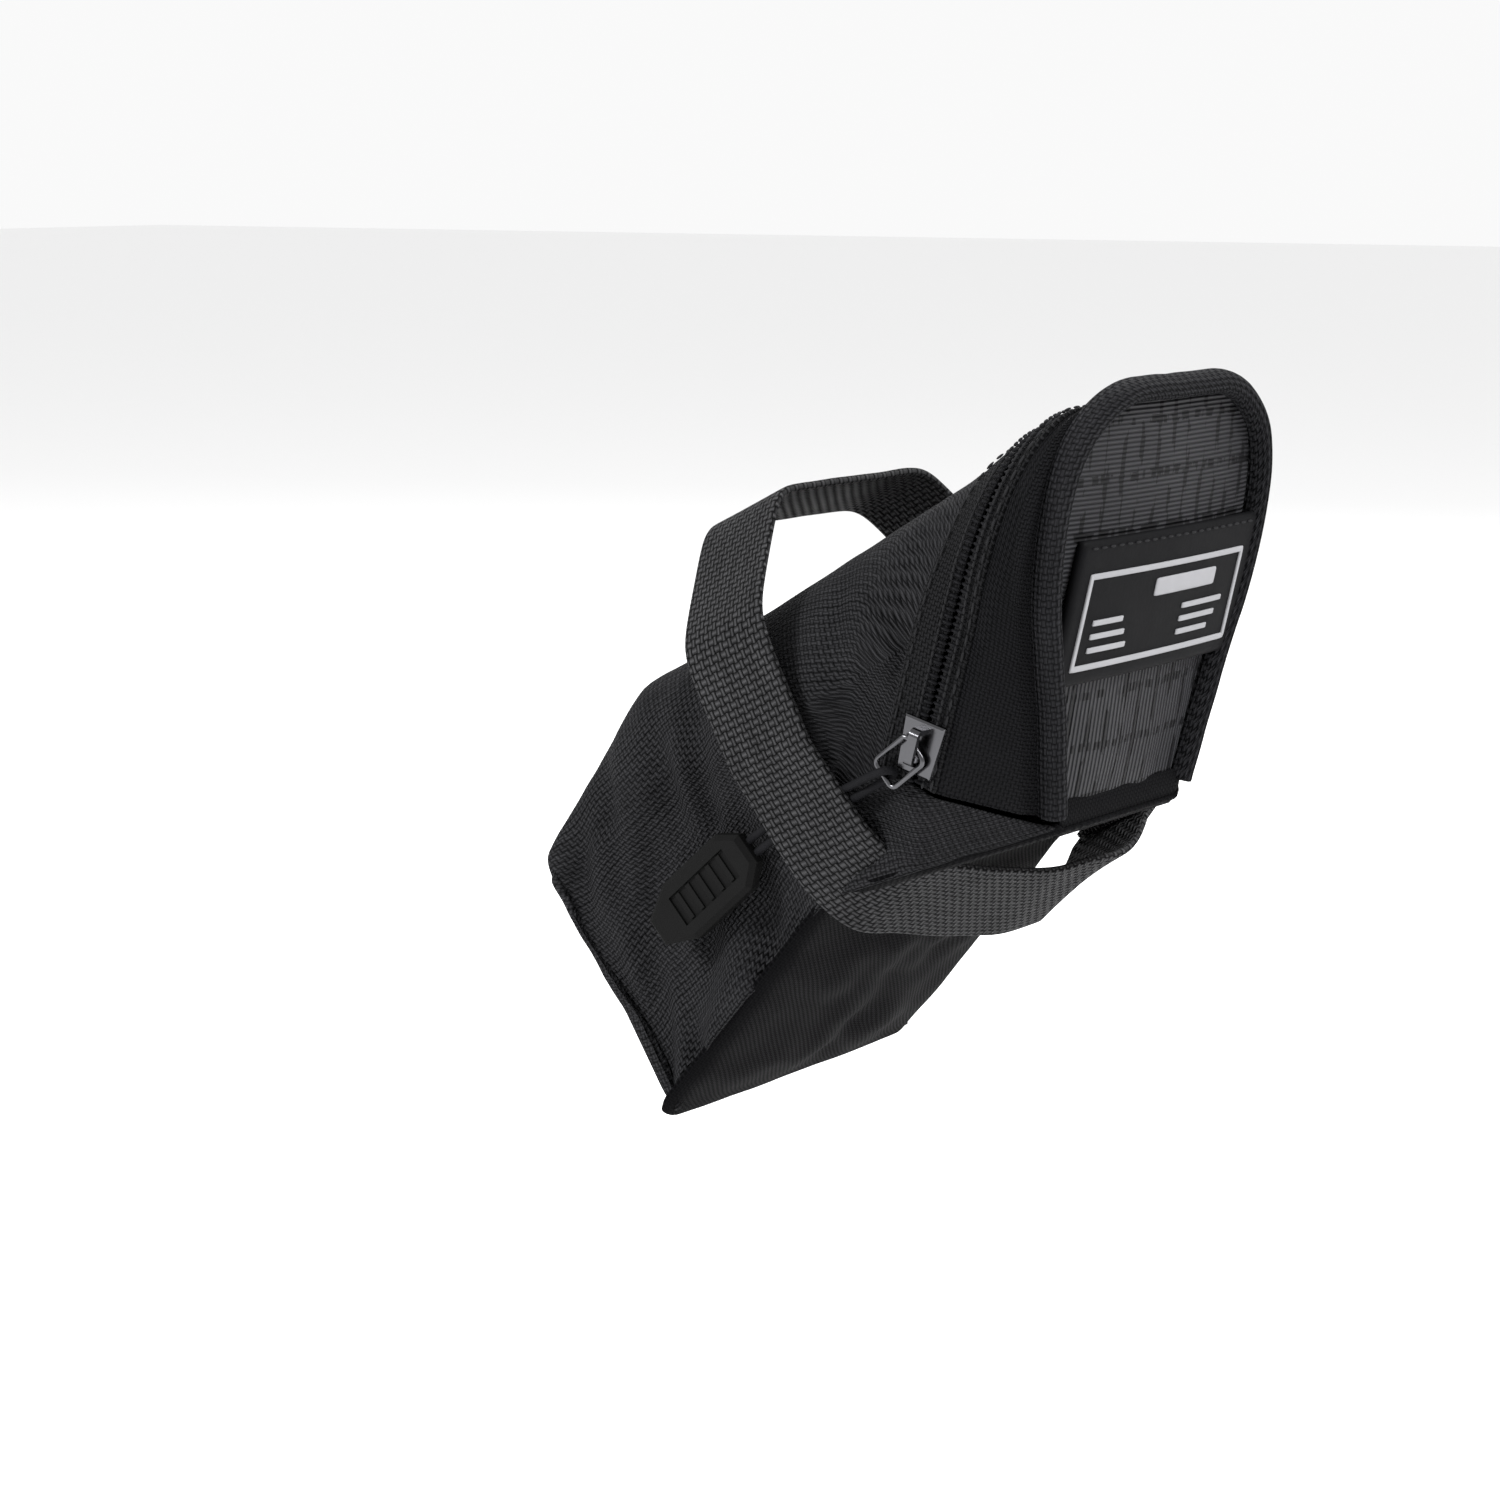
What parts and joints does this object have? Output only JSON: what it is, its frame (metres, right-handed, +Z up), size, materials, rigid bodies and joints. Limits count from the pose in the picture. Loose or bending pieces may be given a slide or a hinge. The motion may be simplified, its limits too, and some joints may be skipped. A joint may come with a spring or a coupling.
{
  "type": "bicycle saddle bag",
  "caption": "Wedge-shaped fabric saddle bag with a zipped rear cap, rolled edge, label patch, cord puller and a hook-and-loop strap that goes over the saddle rails.",
  "frame": {"origin": "middle of the strap's top span, on its under face, where the saddle rails bear", "axes": "+X towards the rear of the bicycle, +Y towards the rider's right, +Z up; the bag hangs pitched up 27 degrees towards the rear"},
  "size_m": [0.12, 0.1326, 0.1519],
  "materials": {
    "body_fabric": "matt woven",
    "smooth_fabric": "satin coated",
    "stiffener": "matt",
    "lining": "mesh",
    "zipper_tape": "woven tape",
    "zipper_coil": "satin nylon",
    "webbing": "coarse woven",
    "ripstop": "satin ripstop",
    "knit_binding": "ribbed knit",
    "label_rubber": "matt",
    "label_print": "matt raised",
    "dark_metal": "polished dark plating",
    "cord": "braided",
    "tab_rubber": "matt",
    "hook_tape": "hook tape"
  },
  "bodies": {
    "bag": {"front_panel": "body_fabric", "left_side_panel": "body_fabric", "right_side_panel": "body_fabric", "top_panel": "body_fabric", "base_panel": "smooth_fabric", "base_stiffener": "stiffener", "inner_pocket": "lining", "body_zipper_tape": "zipper_tape", "body_zipper_coil": "zipper_coil", "strap_band": "webbing", "strap_keeper": "webbing"},
    "rear_cap": {"rear_panel": "ripstop", "cap_gusset": "body_fabric", "cap_piping": "knit_binding", "cap_zipper_tape": "zipper_tape", "cap_zipper_coil": "zipper_coil", "label_backing": "label_rubber", "label_border": "label_print", "label_relief": "label_print"},
    "slider": {"slider_body": "dark_metal", "slider_bridge": "dark_metal"},
    "puller": {"pull_ring": "dark_metal", "puller_cord": "cord", "puller_tab": "tab_rubber"},
    "strap_end": {"strap_tail": "webbing", "strap_hook_patch": "hook_tape"}
  },
  "joints": [
    {"name": "cap_fold", "type": "hinge", "parent": "bag", "child": "rear_cap", "pos_m": [0.07111, 0, -0.05553], "axis": [0, 1, 0], "range_deg": [0, 50]},
    {"name": "slider_run", "type": "slide", "parent": "bag", "child": "slider", "axis": [0.2588, 0, 0.9659], "range_m": [0, 0.0215]},
    {"name": "puller_swing", "type": "hinge", "parent": "slider", "child": "puller", "pos_m": [0.05499, -0.05, -0.0389], "axis": [-0.6293, 0, 0.7771], "range_deg": [0, 60], "deforming": ["puller_cord"]},
    {"name": "strap_peel", "type": "hinge", "parent": "bag", "child": "strap_end", "pos_m": [0.02822, 0.0552, -0.07741], "axis": [-0.891, 0, -0.454], "range_deg": [0, 70]}
  ],
  "couplings": [
    {"joint": "puller_swing", "follows": "slider_run", "rad_per_m": 25}
  ]
}
